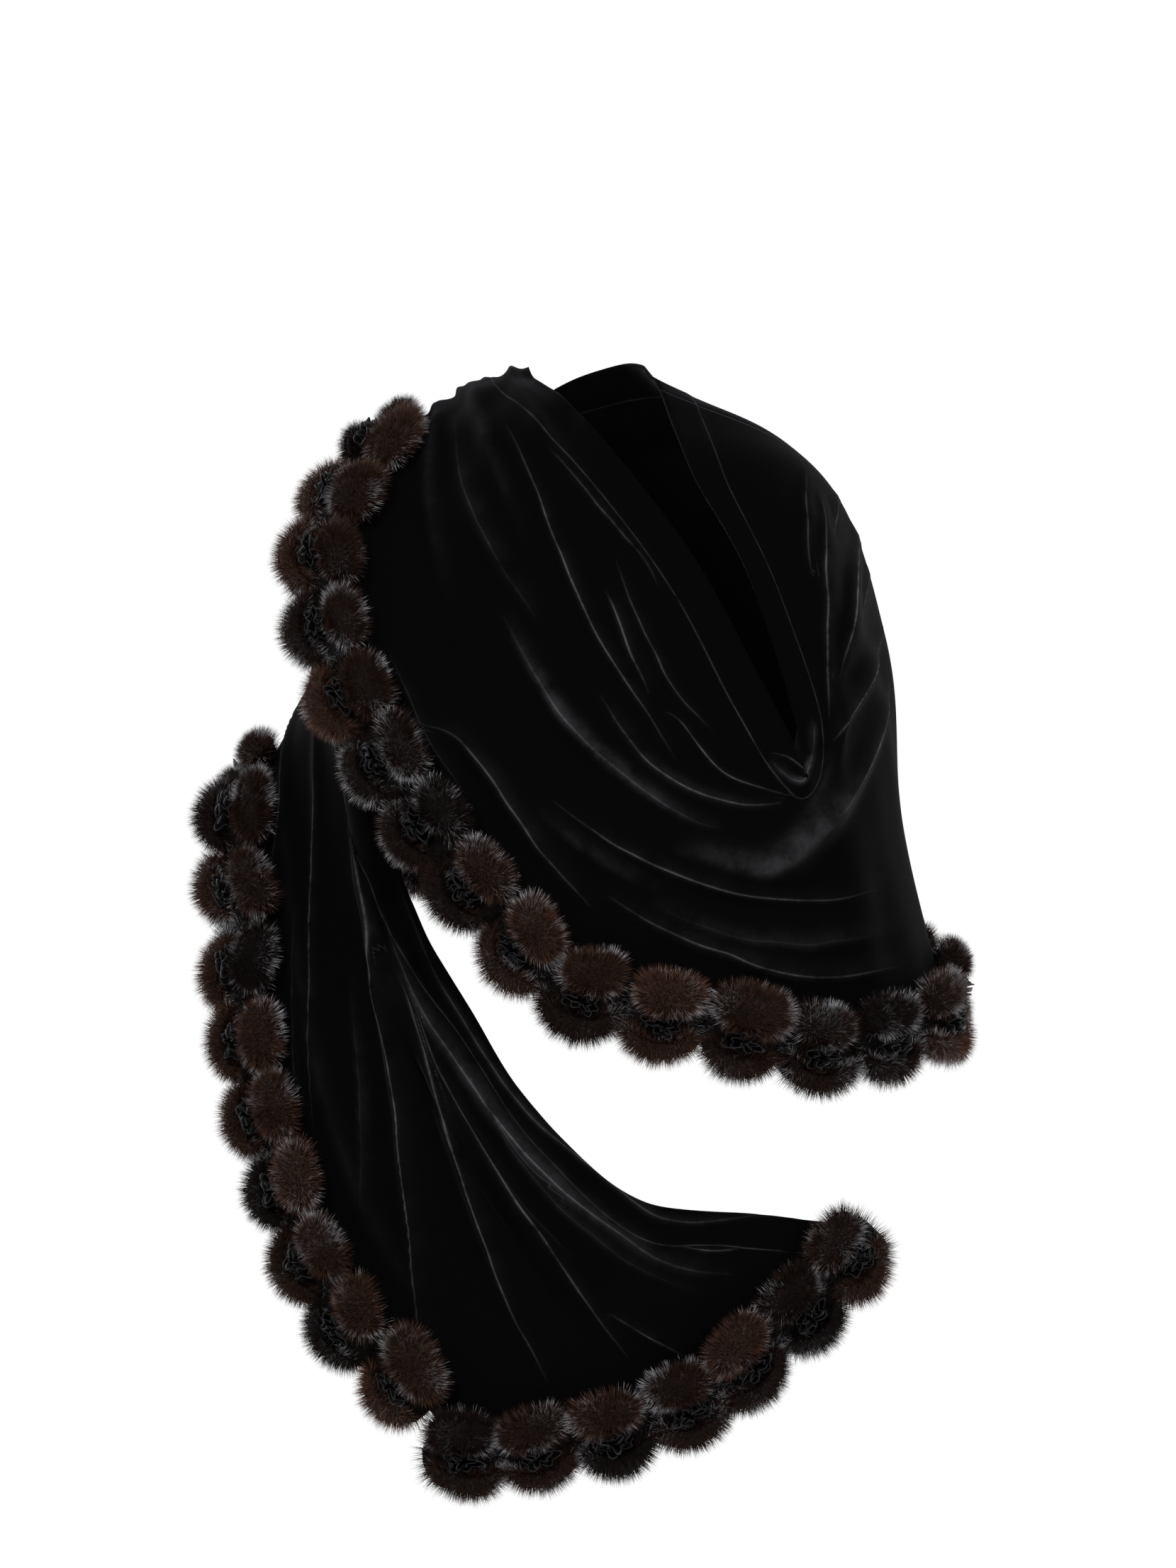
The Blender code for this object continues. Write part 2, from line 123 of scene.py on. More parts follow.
FALL_FOLDS = [
    Fold(0.2, 5.4, 0.35, 0.38, 0.38, -5, 0.050),
    Fold(0.2, 5.4, 0.55, 0.56, 0.58, -6, 0.050),
    Fold(0.8, 6.6, 0.90, 0.90, 0.90, 4, 0.035),
]
BACK_FOLDS = [
    Fold(0.1, 4.4, 0.10, 0.07, 0.11, 6, 0.030),
    Fold(0.7, 5.9, 0.25, 0.20, 0.27, 10, 0.046),
    Fold(0.2, 3.5, 0.33, 0.31, 0.37, 6, 0.028),
    Fold(1.2, 5.9, 0.48, 0.43, 0.38, 12, 0.050),
    Fold(0.2, 4.7, 0.58, 0.60, 0.55, 7, 0.034),
    Fold(1.7, 5.7, 0.70, 0.75, 0.68, 9, 0.042),
    Fold(2.4, 5.2, 0.88, 0.90, 0.85, 5, 0.030),
]
WRAP_FOLDS = [
    Fold(6.6, 10.4, 0.10, 0.12, 0.14, 6, 0.060),
    Fold(6.9, 10.6, 0.34, 0.36, 0.36, 9, 0.085),
    Fold(7.0, 10.6, 0.66, 0.64, 0.62, 8, 0.080),
]
TAIL_FOLDS = [
    Fold(-0.4, 3.2, 0.08, 0.12, 0.14, 6, 0.040),
    Fold(0.1, 3.9, 0.25, 0.30, 0.29, 9, 0.050),
    Fold(-0.2, 4.0, 0.43, 0.46, 0.50, 11, 0.050),
    Fold(0.6, 3.8, 0.58, 0.62, 0.63, 6, 0.034),
    Fold(-0.1, 3.4, 0.77, 0.79, 0.83, 8, 0.046),
]

Stretch = namedtuple("Stretch", "name sections folds")
STRETCHES = [
    Stretch("front_fall", FRONT_FALL, FALL_FOLDS),
    Stretch("back_wrap", BACK_WRAP, BACK_FOLDS),
    Stretch("front_wrap", FRONT_WRAP, WRAP_FOLDS),
    Stretch("shoulder_tail", SHOULDER_TAIL, TAIL_FOLDS),
]

# Creases that show from the front. The line is in millimetres from the origin, to the right and up, as the
# camera sees it. The crease rises by rise, over the width above and below its line. Edge is how strong a
# painted highlight is in a thin line along the crest, and sheen is how strong a painted sheen is in a soft
# band there.
Crease = namedtuple("Crease", "stretch rise above below edge sheen line")


def creases_on(stretch, rows):
    return [Crease(stretch, *row) for row in rows]


CHEST_CREASES = creases_on("front_wrap", [
    # folds that come down from the shoulder at the right
    (4, 12, 6, 0.5, 0.1, [(182, -50), (182, -93), (185, -128), (188, -150)]),
    (7, 13, 6, 0.9, 0.2,
     [(190, -66), (198, -88), (198, -133), (200, -185), (202, -238), (203, -276)]),
    (3, 8, 5, 0.4, 0.1, [(211, -72), (209, -90), (206, -116)]),
    (8, 15, 7, 0.8, 0.2,
     [(227, -98), (228, -106), (223, -146), (217, -205), (211, -240)]),
    (4, 10, 6, 0.4, 0.1, [(238, -130), (236, -145), (229, -191)]),
    (7, 13, 6, 0.8, 0.2,
     [(250, -190), (240, -225), (227, -256), (216, -278), (205, -293)]),
    # the broad swag under the cowl: a sharp fold that opens into a soft roll
    (9, 18, 8, 0.8, 0.2,
     [(256, -238), (245, -280), (229, -320), (214, -343), (200, -359)]),
    (13, 22, 14, 0.0, 1.1,
     [(240, -296), (229, -320), (214, -343), (200, -359), (187, -375), (169, -393), (148, -405),
      (130, -401), (103, -392), (64, -381)]),
    # folds that run down beside the cowl
    (7, 12, 6, 0.9, 0.15,
     [(-80, -10), (-62, -45), (-49, -75), (-34, -120), (-20, -154), (3, -204), (30, -248),
      (56, -283), (74, -314)]),
    (6, 18, 10, 0.2, 0.2,
     [(-121, -5), (-118, -57), (-103, -101), (-80, -142), (-47, -190)]),
    (9, 14, 8, 0.5, 1.0,
     [(-85, -170), (-68, -204), (-49, -238), (-33, -264), (-18, -283), (3, -304), (30, -326),
      (56, -346), (84, -359), (114, -368)]),
    (9, 14, 6, 0.9, 0.15,
     [(7, -154), (16, -175), (27, -206), (37, -230), (48, -250)]),
    (6, 8, 5, 0.9, 0.1,
     [(58, -262), (63, -260), (72, -267), (82, -285), (98, -306), (112, -323), (135, -329),
      (158, -335), (173, -337)]),
    (5, 10, 5, 0.5, 0.1,
     [(14, -122), (27, -159), (43, -196), (61, -233), (82, -262), (108, -288)]),
    (8, 14, 7, 0.7, 0.3,
     [(-2, -243), (16, -270), (30, -293), (51, -317), (77, -333), (103, -341), (130, -347),
      (156, -345), (170, -341)]),
    (5, 12, 6, 0.5, 0.1, [(-44, -30), (-23, -54), (11, -96), (43, -133), (58, -159)]),
    # the lip of the cowl
    (10, 10, 7, 0.5, 1.3,
     [(150, -306), (161, -319), (173, -335), (187, -322), (194, -303), (193, -288), (190, -268)]),
    (4, 7, 5, 0.6, 0.1,
     [(150, -300), (162, -303), (172, -304), (182, -307), (190, -302)]),
    # long swags lower down
    (7, 14, 6, 0.7, 0.1,
     [(-45, -335), (-28, -347), (3, -372), (43, -394), (82, -410), (122, -422), (161, -427),
      (200, -428), (224, -423), (250, -414)]),
    (4, 14, 8, 0.0, 0.3, [(-54, -346), (-22, -373), (16, -401), (60, -422)]),
    (7, 16, 8, 0.8, 0.2,
     [(-155, -274), (-135, -278), (-119, -284), (-88, -325), (-63, -360), (-49, -383), (-26, -409),
      (1, -438)]),
    (4, 10, 6, 0.2, 0.1, [(-180, -205), (-157, -263), (-135, -303), (-106, -345)]),
    (7, 16, 8, 0.7, 0.2,
     [(5, -420), (49, -448), (77, -461), (103, -471), (135, -482), (168, -490), (200, -493),
      (232, -490), (268, -484)]),
    (5, 16, 8, 0.1, 0.3,
     [(40, -425), (90, -450), (140, -463), (200, -465), (262, -450)]),
    (-5, 14, 14, 0.0, 0.0, [(-110, -110), (-92, -170), (-60, -225), (-20, -262)]),
    (-5, 12, 12, 0.0, 0.0, [(-150, -90), (-150, -150), (-132, -215), (-100, -270)]),
])
FALL_CREASES = creases_on("front_fall", [
    (5, 8, 5, 0.5, 0.1,
     [(-254, -215), (-260, -250), (-267, -294), (-273, -341), (-282, -410)]),
    (6, 9, 5, 0.6, 0.1,
     [(-243, -240), (-244, -357), (-245, -482), (-246, -600), (-243, -640)]),
    (12, 18, 7, 0.9, 0.1,
     [(-228, -270), (-221, -303), (-213, -341), (-204, -398), (-194, -455), (-182, -525),
      (-171, -596), (-163, -660), (-156, -751), (-150, -820), (-144, -872)]),
    (10, 14, 6, 0.9, 0.1,
     [(-187, -466), (-170, -509), (-153, -549), (-132, -615), (-106, -690), (-85, -751),
      (-60, -810), (-38, -855)]),
    (10, 14, 6, 0.9, 0.1,
     [(-166, -503), (-151, -545), (-120, -613), (-73, -688), (-44, -725), (-12, -770), (10, -801),
      (35, -832)]),
    (5, 9, 5, 0.5, 0.1, [(8, -783), (41, -804), (84, -826)]),
    (14, 20, 9, 0.7, 0.7,
     [(-190, -420), (-176, -473), (-163, -507), (-149, -533), (-125, -568), (-97, -610),
      (-66, -648), (-26, -690), (10, -714), (47, -739), (82, -751), (128, -752)]),
    (9, 10, 6, 0.5, 0.4,
     [(-176, -400), (-163, -440), (-138, -498), (-106, -551), (-81, -589), (-47, -630), (0, -667),
      (47, -704), (82, -711), (135, -702), (190, -692)]),
    (4, 7, 4, 0.5, 0.1, [(72, -728), (100, -735), (128, -729)]),
    (4, 12, 7, 0.1, 0.2, [(-213, -482), (-204, -576), (-200, -670), (-202, -720)]),
    (4, 10, 6, 0.2, 0.1, [(-258, -420), (-262, -520), (-258, -620), (-240, -700)]),
    (5, 12, 7, 0.1, 0.2,
     [(-120, -560), (-80, -640), (-30, -700), (30, -745), (100, -775)]),
])
CREASES = CHEST_CREASES + FALL_CREASES

STRIP = np.array([section for stretch in STRETCHES for section in stretch.sections], dtype=float)
LAST = len(STRIP) - 1.0


# The strip's surface, as the solids have it

def tangents(points, axis):
    """Slopes of a smooth curve through points, each weighted towards the shorter of its two chords."""
    points = np.moveaxis(points, axis, 0)
    chords = points[1:] - points[:-1]
    lengths = np.linalg.norm(chords, axis=-1, keepdims=True)
    inner = (lengths[1:] * chords[:-1] + lengths[:-1] * chords[1:]) / (lengths[1:] + lengths[:-1])
    slopes = np.concatenate([chords[:1], inner, chords[-1:]])
    return np.moveaxis(slopes, 0, axis)


def curve_between(start, start_slope, end, end_slope, share):
    """A cubic from start to end, which runs on straight past either of them."""
    t = np.clip(share, 0.0, 1.0)
    inside = (
        (1 + 2 * t) * (1 - t) ** 2 * start
        + t * (1 - t) ** 2 * start_slope
        + t * t * (3 - 2 * t) * end
        + t * t * (t - 1) * end_slope
    )
    return inside + np.minimum(share, 0.0) * start_slope + np.maximum(share - 1.0, 0.0) * end_slope


def smooth_cloth(along, across):
    """Points of the strip without its folds, at positions along (in sections) and across (0 to 1)."""
    index = np.clip(np.floor(along).astype(int), 0, len(STRIP) - 2)
    share = (along - index)[:, None, None]
    slopes = tangents(STRIP, 0)
    section = curve_between(STRIP[index], slopes[index], STRIP[index + 1], slopes[index + 1], share)
    spans = STRIP.shape[1] - 1
    span = np.clip(np.floor(across * spans).astype(int), 0, spans - 1)
    rows = np.arange(len(along))
    bends = tangents(section, 1)
    share = (across * spans - span)[:, None]
    return curve_between(section[rows, span], bends[rows, span], section[rows, span + 1],
                         bends[rows, span + 1], share)


def unit(vectors):
    return vectors / np.maximum(np.linalg.norm(vectors, axis=-1, keepdims=True), 1e-9)


def dot(first, second):
    return np.sum(first * second, axis=-1)


def strip_slopes(along, across, step=0.006):
    """How the smooth cloth moves for one section along it, and for its whole width across it."""
    run = (smooth_cloth(along + step, across) - smooth_cloth(along - step, across)) / (2 * step)
    fall = (smooth_cloth(along, across + step) - smooth_cloth(along, across - step)) / (2 * step)
    return run, fall


def outward(along, across):
    """The unit direction out of the cloth's face."""
    run, fall = strip_slopes(along, across)
    return unit(np.cross(run, fall))


def stretch_range(name):
    """A stretch's first and last position along the strip."""
    start = 0
    for stretch in STRETCHES:
        end = start + len(stretch.sections) - (1 if start == 0 else 0)
        if stretch.name == name:
            return start, end
        start = end


# Folds and creases

CAMERA_PLACE = (-0.0065, -5.0, -0.3266)
FRAME_HEIGHT = 1.3604


def as_seen(points):
    """Points in millimetres as the camera sees them, drawn onto the plane through the origin."""
    x, y, z = points.T
    distance = -CAMERA_PLACE[1] / MM
    scale = distance / (distance + y)
    middle_x, middle_z = CAMERA_PLACE[0] / MM, CAMERA_PLACE[2] / MM
    return np.stack([middle_x + (x - middle_x) * scale, middle_z + (z - middle_z) * scale], axis=1)


def smooth_line(points, step):
    """A line through points, resampled at even steps and rounded at its corners."""
    points = np.array(points, dtype=float)
    lengths = np.concatenate([[0.0], np.cumsum(np.linalg.norm(points[1:] - points[:-1], axis=1))])
    places = np.linspace(0.0, lengths[-1], max(int(lengths[-1] / step), 8))
    line = np.stack([np.interp(places, lengths, column) for column in points.T], axis=1)
    return blur(line, 4)


def blur(line, times):
    """Points of a line, each drawn to the middle of its neighbours."""
    for _ in range(times):
        line[1:-1] = (line[:-2] + 2 * line[1:-1] + line[2:]) / 4
    return line


def crease_path(crease, lookup):
    """The crease's line on the smooth cloth, in millimetres."""
    places, seen = lookup[crease.stretch]
    line = smooth_line(crease.line, 4.0)
    gaps = np.linalg.norm(seen[None, :, :] - line[:, None, :], axis=2)
    nearest = places[np.argmin(gaps, axis=1)]
    nearest = blur(nearest, 12)
    return smooth_cloth(nearest[:, 0], nearest[:, 1])


def crease_lookup():
    """For each stretch, a fine grid of places that face the camera, beside where each is seen."""
    lookup = {}
    for name in {crease.stretch for crease in CREASES}:
        start, end = stretch_range(name)
        along, across = np.meshgrid(np.linspace(start, end, 260), np.linspace(0.0, 1.0, 90), indexing="ij")
        along, across = along.ravel(), across.ravel()
        points = smooth_cloth(along, across)
        facing = outward(along, across)[:, 1] < -0.05
        places = np.stack([along, across], axis=1)[facing]
        lookup[name] = (places, as_seen(points[facing]))
    return lookup


def crease_profile(points, faces, crease, path):
    """For the points near a crease: their numbers, how strongly it lifts them (0 to 1), how far up or down
    from its crest they lie in millimetres, and how strongly it shines there (0 to 1)."""
    reach = CREASE_REACH * max(crease.above, crease.below)
    low, high = path.min(axis=0) - reach, path.max(axis=0) + reach
    near = np.flatnonzero(np.all((points > low) & (points < high), axis=1))
    here = points[near]
    gaps = (here ** 2).sum(axis=1)[:, None] + (path ** 2).sum(axis=1)[None, :] - 2 * here @ path.T
    index = np.argmin(gaps, axis=1)
    slopes = unit(np.gradient(path, axis=0))[index]
    offset = here - path[index]
    beyond = dot(offset, slopes)
    side = np.cross(faces[near], slopes)
    distance = dot(offset, side)
    first, last = np.array(crease.line[0], dtype=float), np.array(crease.line[-1], dtype=float)
    heading = last - first
    if 0.3 * -heading[1] + heading[0] < 0:
        distance = -distance
    past_end = ((index == 0) | (index == len(path) - 1)) * np.abs(beyond)
    belly = np.abs(np.sin(math.pi * index / (len(path) - 1)))
    width = np.where(distance > 0, crease.above, crease.below) * (0.35 + 0.65 * belly ** 0.7)
    taper = belly ** 0.8 * np.exp(-(past_end / CREASE_END_FADE) ** 2)
    return near, np.exp(-(distance / width) ** 2) * taper, distance, taper ** 1.6


def fold_rise(along, across):
    """How far the long folds lift the cloth in millimetres, and how strong a painted sheen is along their
    crests.
    """
    rise, glow = np.zeros(len(along)), np.zeros(len(along))
    for stretch in STRETCHES:
        start = stretch_range(stretch.name)[0]
        for fold in stretch.folds:
            share = np.clip((along - start - fold.first) / (fold.last - fold.first), 0.0, 1.0)
            centre = (
                fold.start * (1 - share) * (1 - 2 * share)
                + fold.middle * 4 * share * (1 - share)
                + fold.end * share * (2 * share - 1)
            )
            offset = (across - centre) / fold.half_width
            offset = np.where(offset > 0, offset * FOLD_STEEPNESS, offset)
            strength = np.sin(math.pi * share) ** 1.3
            rise += fold.rise * strength * np.exp(-offset * offset)
            if fold.rise > 0:
                glow = np.maximum(glow, FOLD_SHEEN * fold.rise * strength * np.exp(-(offset * 2.6) ** 2))
    return rise, glow


def sways(along, across):
    """Slow unevenness of the cloth, in millimetres."""
    return (
        0.9 * np.sin(5.1 * along + 7.3 * across)
        + 0.7 * np.sin(3.3 * along - 11.0 * across + 1.3)
        + 0.5 * np.sin(8.7 * along + 17.0 * across + 0.6)
    )


def edge_fade(across):
    """1 over the cloth, and 0 at the fur edge, which the rosettes keep smooth."""
    fade = np.clip((1.0 - across) / (1.0 - FOLD_FADE_START), 0.0, 1.0)
    return fade * fade * (3 - 2 * fade)


def draped(along, across, paths):
    """Points of the outer face with every fold, and where the painted highlights along the crests lie and how
    strong they are at each.
    """
    points = smooth_cloth(along, across)
    faces = outward(along, across)
    rise, fold_glow = fold_rise(along, across)
    rise += sways(along, across)
    painted_highlights = {"crest_gap": np.full(len(along), 40.0), "crest_width": np.full(len(along), 4.0),
             "crest_shine": np.zeros(len(along)), "crest_glow": fold_glow}
    ridges = np.zeros(len(along))
    for crease, path in zip(CREASES, paths):
        start, end = stretch_range(crease.stretch)
        here = np.flatnonzero((along > start - 0.6) & (along < end + 0.6))
        near, lift, gap, shine = crease_profile(points[here], faces[here], crease, path)
        if crease.rise > 0:
            ridges[here[near]] += (crease.rise * lift) ** 3
        else:
            rise[here[near]] += crease.rise * lift
        # a painted sheen in a soft band beside the crest, and a painted highlight in a thin line along it
        spread = np.where(gap > 0, 0.55, 0.22) * crease.above
        glow = crease.sheen * shine * np.exp(-(gap / spread) ** 2)
        painted_highlights["crest_glow"][here[near]] = np.maximum(painted_highlights["crest_glow"][here[near]], glow)
        edge = crease.edge * shine
        closer = (np.abs(gap) < np.abs(painted_highlights["crest_gap"][here[near]])) & (edge > 0.02)
        here = here[near[closer]]
        painted_highlights["crest_gap"][here] = gap[closer]
        painted_highlights["crest_width"][here] = crease.above
        painted_highlights["crest_shine"][here] = edge[closer]
    painted_highlights["crest_near"] = np.abs(painted_highlights["crest_gap"])
    # where ridges meet, the highest counts, so that they don't pile up
    rise = (rise + np.cbrt(ridges)) * edge_fade(across)
    painted_highlights["crest_shine"] *= edge_fade(across)
    painted_highlights["crest_glow"] *= edge_fade(across)
    return points + faces * rise[:, None], painted_highlights


# The two sheets of cloth

Sheet = namedtuple("Sheet", "name first last cells_long cells_wide nodes held")
SHEETS = [
    Sheet("velvet_fall_and_back", 0.0, 13.0, 310, 108, ("front_fall", "back_wrap"), "draped"),
    Sheet("velvet_chest_and_tail", 13.0, 26.0, 310, 108, ("front_wrap", "shoulder_tail"), "draped"),
]


def strip_length(first, last, across, samples=400):
    """Positions along the strip, beside the millimetres of cloth up to each."""
    along = np.linspace(first, last, samples)
    points = smooth_cloth(along, np.full(samples, across))
    steps = np.linalg.norm(points[1:] - points[:-1], axis=1)
    return along, np.concatenate([[0.0], np.cumsum(steps)])


def strip_width(along):
    """The cloth's width in millimetres at positions along the strip, beside the share across it."""
    across = np.linspace(0.0, 1.0, 25)
    grid = [smooth_cloth(along, np.full(len(along), share)) for share in across]
    steps = np.array([np.linalg.norm(after - here, axis=1) for here, after in zip(grid, grid[1:])])
    return across, np.concatenate([np.zeros((1, len(along))), np.cumsum(steps, axis=0)])


def from_hem(along, across):
    """How many millimetres of cloth lie between each place and the plain hem."""
    stations = np.linspace(0.0, LAST, 261)
    shares, widths = strip_width(stations)
    column = np.interp(along, stations, np.arange(len(stations)))
    left = np.clip(np.floor(column).astype(int), 0, len(stations) - 2)
    part = column - left
    row = across * (len(shares) - 1)
    low = np.clip(np.floor(row).astype(int), 0, len(shares) - 2)
    up = row - low
    below = widths[low, left] * (1 - part) + widths[low, left + 1] * part
    above = widths[low + 1, left] * (1 - part) + widths[low + 1, left + 1] * part
    return below * (1 - up) + above * up


def float_layer(mesh, name, values):
    """A value for each corner point of a mesh, which its material reads."""
    layer = mesh.attributes.new(name, "FLOAT", "POINT")
    layer.data.foreach_set("value", np.asarray(values, dtype=np.float32))


def finished(shape, name, material):
    """An object from a bmesh, in one material."""
    mesh = bpy.data.meshes.new(name)
    shape.to_mesh(mesh)
    shape.free()
    mesh.materials.append(material)
    mesh.shade_smooth()
    piece = bpy.data.objects.new(name, mesh)
    bpy.context.scene.collection.objects.link(piece)
    return piece


def cloth_sheet(sheet, paths, outer, inner):
    """One sheet of the velvet, as a thin shell on the form of its solids."""
    shape = bmesh.new()
    bmesh.ops.create_grid(shape, x_segments=sheet.cells_long, y_segments=sheet.cells_wide, size=0.5)
    shape.verts.ensure_lookup_table()
    flat = np.array([vertex.co for vertex in shape.verts])
    positions, lengths = strip_length(sheet.first, sheet.last, 0.7)
    along = np.interp((flat[:, 0] + 0.5) * lengths[-1], lengths, positions)
    across = np.clip(flat[:, 1] + 0.5, 0.0, 1.0)
    points, painted_highlights = draped(along, across, paths)
    hem = from_hem(along, across)
    hem_rise = HEM_RISE * np.clip((HEM_DEPTH + 1 - hem) / HEM_STEP, 0.0, 1.0)
    points += outward(along, across) * hem_rise[:, None]
    for vertex, point in zip(shape.verts, points):
        vertex.co = point * MM
    out = outward(along[:1], across[:1])[0]
    shape.faces.ensure_lookup_table()
    shape.normal_update()
    corner = shape.verts[0].link_faces[0]
    if np.dot(np.array(corner.normal), out) < 0:
        bmesh.ops.reverse_faces(shape, faces=shape.faces)
    piece = finished(shape, sheet.name, outer)
    piece.data.materials.append(inner)
    for name, values in painted_highlights.items():
        float_layer(piece.data, name, values)
    float_layer(piece.data, "from_hem", hem)
    wall = piece.modifiers.new("wall", "SOLIDIFY")
    wall.thickness = WALL * MM
    wall.offset = -1.0
    wall.material_offset = 1
    apply_modifiers(piece)
    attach(piece, "root")
    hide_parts(*sheet.nodes)
    return piece, along, across


def apply_modifiers(piece):
    """The piece's mesh with its modifiers applied."""
    graph = bpy.context.evaluated_depsgraph_get()
    mesh = bpy.data.meshes.new_from_object(piece.evaluated_get(graph), preserve_all_data_layers=True,
                                           depsgraph=graph)
    old = piece.data
    piece.modifiers.clear()
    piece.data = mesh
    bpy.data.meshes.remove(old)
    mesh.name = piece.name
    mesh.shade_smooth()


# Materials

def new_material(name, colour, roughness, sheen=0.0, sheen_roughness=0.4):
    material = bpy.data.materials.new(name)
    material.use_nodes = True
    shader = material.node_tree.nodes["Principled BSDF"]
    shader.inputs["Base Color"].default_value = (*colour, 1.0)
    shader.inputs["Roughness"].default_value = roughness
    shader.inputs["Sheen Weight"].default_value = sheen
    shader.inputs["Sheen Roughness"].default_value = sheen_roughness
    return material, shader


def add_node(tree, kind, **settings):
    node = tree.nodes.new(kind)
    for name, value in settings.items():
        if name in node.inputs:
            node.inputs[name].default_value = value
        else:
            setattr(node, name, value)
    return node


def mix_colours(tree, factor, first, second):
    """A mix of two colours by a factor socket; each colour is a constant or a socket."""
    node = tree.nodes.new("ShaderNodeMix")
    node.data_type = "RGBA"
    tree.links.new(factor, node.inputs[0])
    for socket, colour in ((node.inputs[6], first), (node.inputs[7], second)):
        if isinstance(colour, tuple):
            socket.default_value = (*colour, 1.0)
        else:
            tree.links.new(colour, socket)
    return node.outputs[2]


def maths(tree, operation, first, second=0.0, third=0.0, clamp=False):
    node = tree.nodes.new("ShaderNodeMath")
    node.operation = operation
    node.use_clamp = clamp
    for socket, value in zip(node.inputs, (first, second, third)):
        if isinstance(value, (int, float)):
            socket.default_value = value
        else:
            tree.links.new(value, socket)
    return node.outputs[0]


def bell(tree, value, width):
    """1 where a value is zero, falling softly to nothing over a width."""
    share = maths(tree, "DIVIDE", value, width)
    fall = maths(tree, "POWER", maths(tree, "MULTIPLY_ADD", share, share, 1.0), 2.0)
    return maths(tree, "DIVIDE", 1.0, fall)


def grain_group():
    """A node group for every cloth and fur: fine grain and slow patches over the surface, and the grain's
    relief, to which a further height may be added."""
    tree = bpy.data.node_groups.new("grain", "ShaderNodeTree")
    for name, value in (("Grain Scale", 1000.0), ("Patch Scale", 40.0), ("Relief", 0.5), ("Depth", 0.001),
                        ("Grain Height", 0.35), ("Added Height", 0.0)):
        socket = tree.interface.new_socket(name, in_out="INPUT", socket_type="NodeSocketFloat")
        socket.default_value = value
    for name, kind in (("Grain", "Float"), ("Patches", "Float"), ("Normal", "Vector")):
        tree.interface.new_socket(name, in_out="OUTPUT", socket_type=f"NodeSocket{kind}")
    start, end = tree.nodes.new("NodeGroupInput"), tree.nodes.new("NodeGroupOutput")
    place = add_node(tree, "ShaderNodeTexCoord").outputs["Object"]
    for name, scale, detail in (("Grain", "Grain Scale", 2.0), ("Patches", "Patch Scale", 4.0)):
        noise = add_node(tree, "ShaderNodeTexNoise", Detail=detail, Roughness=0.65)
        tree.links.new(place, noise.inputs["Vector"])
        tree.links.new(start.outputs[scale], noise.inputs["Scale"])
        tree.links.new(noise.outputs["Fac"], end.inputs[name])
        if name == "Grain":
            height = maths(tree, "MULTIPLY_ADD", noise.outputs["Fac"], start.outputs["Grain Height"],
                           start.outputs["Added Height"])
    bump = add_node(tree, "ShaderNodeBump")
    tree.links.new(start.outputs["Relief"], bump.inputs["Strength"])
    tree.links.new(start.outputs["Depth"], bump.inputs["Distance"])
    tree.links.new(height, bump.inputs["Height"])
    tree.links.new(bump.outputs["Normal"], end.inputs["Normal"])
    return tree


def add_grain(tree, shader, **values):
    """The grain group in a material, with its relief on the shader."""
    node = tree.nodes.new("ShaderNodeGroup")
    node.node_tree = bpy.data.node_groups.get("grain") or grain_group()
    for name, value in values.items():
        node.inputs[name.replace("_", " ")].default_value = value
    tree.links.new(node.outputs["Normal"], shader.inputs["Normal"])
    return node


def attributes(tree, *names):
    """The values that a mesh holds under some names."""
    return [add_node(tree, "ShaderNodeAttribute", attribute_name=name).outputs["Fac"] for name in names]


def velvet_material(name, line, halo):
    """Black velvet: a dense pile that drinks light, with painted highlights along the crests: a thin line
    there and a soft painted halo beside it, each as strong as given. A row of stitches runs along the plain
    hem."""
    material, shader = new_material(name, VELVET_BLACK, 0.95, 0.035, 0.30)
    shader.inputs["Sheen Tint"].default_value = (0.80, 0.84, 0.92, 1.0)
    shader.inputs["Specular IOR Level"].default_value = 0.02
    tree = material.node_tree
    gap, near, width, shine, glow, hem = attributes(
        tree, "crest_gap", "crest_near", "crest_width", "crest_shine", "crest_glow", "from_hem")
    grain = add_grain(tree, shader, Grain_Scale=1500.0, Patch_Scale=38.0, Relief=0.5, Depth=0.0009)
    # halfway between two crests the signed distance jumps, and the plain one doesn't
    gap = maths(tree, "MAXIMUM", maths(tree, "ABSOLUTE", gap), maths(tree, "SUBTRACT", near, CELL_REACH))
    half_width = maths(tree, "MULTIPLY_ADD", width, 0.02, 0.45)
    # the painted highlight: a thin line along the nearest crest, and the soft painted sheen beside it
    thin = maths(tree, "MULTIPLY", bell(tree, gap, half_width), shine)
    crest = maths(tree, "MULTIPLY_ADD", thin, line, maths(tree, "MULTIPLY", glow, halo))
    seam = maths(tree, "ABSOLUTE", maths(tree, "SUBTRACT", hem, HEM_DEPTH))
    crest = maths(tree, "MULTIPLY_ADD", bell(tree, seam, STITCH_HALF_WIDTH), line * STITCH_LIGHT, crest)
    uneven = maths(tree, "MULTIPLY_ADD", grain.outputs["Patches"], 2.6, -0.7, clamp=True)
    light = maths(tree, "MULTIPLY", crest, uneven)
    speckle = maths(tree, "MULTIPLY_ADD", grain.outputs["Grain"], 1.6, 0.2)
    light = maths(tree, "MULTIPLY", light, speckle, clamp=True)
    tree.links.new(mix_colours(tree, light, VELVET_BLACK, VELVET_LIT), shader.inputs["Base Color"])
    groove = maths(tree, "SUBTRACT", 1.0, maths(tree, "DIVIDE", seam, 1.6), clamp=True)
    tree.links.new(maths(tree, "MULTIPLY", groove, -0.9), grain.inputs["Added Height"])
    return material


VELVET_BLACK = (0.0012, 0.0012, 0.0014)
# the colour of the painted highlights and sheen along the crests
VELVET_LIT = (0.135, 0.137, 0.145)
STITCH_HALF_WIDTH = 0.6
STITCH_LIGHT = 0.35


